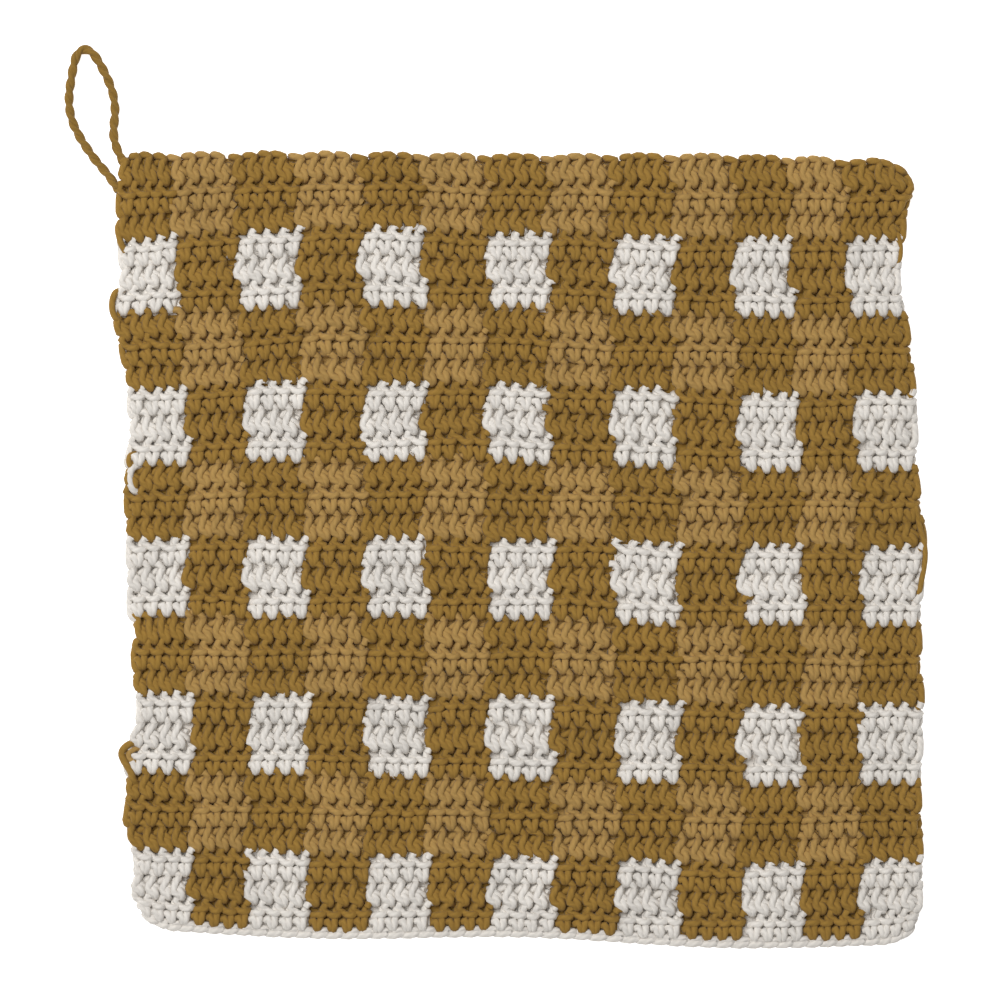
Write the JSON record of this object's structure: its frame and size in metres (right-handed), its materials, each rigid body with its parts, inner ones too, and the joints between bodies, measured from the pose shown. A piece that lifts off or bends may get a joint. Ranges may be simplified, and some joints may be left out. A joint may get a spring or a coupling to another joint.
{
  "type": "pot holder",
  "caption": "Thick square crocheted pot holder in brown and off-white checks, lying flat, with a twisted hanging loop at one corner.",
  "frame": {"origin": "the point of the surface that is under the middle of the cloth, without its hanging loop", "axes": "+Z out of the face of the cloth, +Y up the face towards the loop's end, +X to the right"},
  "size_m": [0.2213, 0.2323, 0.0042],
  "materials": {
    "ochre_yarn": "matt cotton yarn, darker ochre",
    "light_ochre_yarn": "matt cotton yarn, lighter ochre",
    "off_white_yarn": "matt cotton yarn, off-white"
  },
  "bodies": {
    "root": {"cloth": "ochre_yarn", "hanging_loop": "ochre_yarn"}
  },
  "joints": []
}
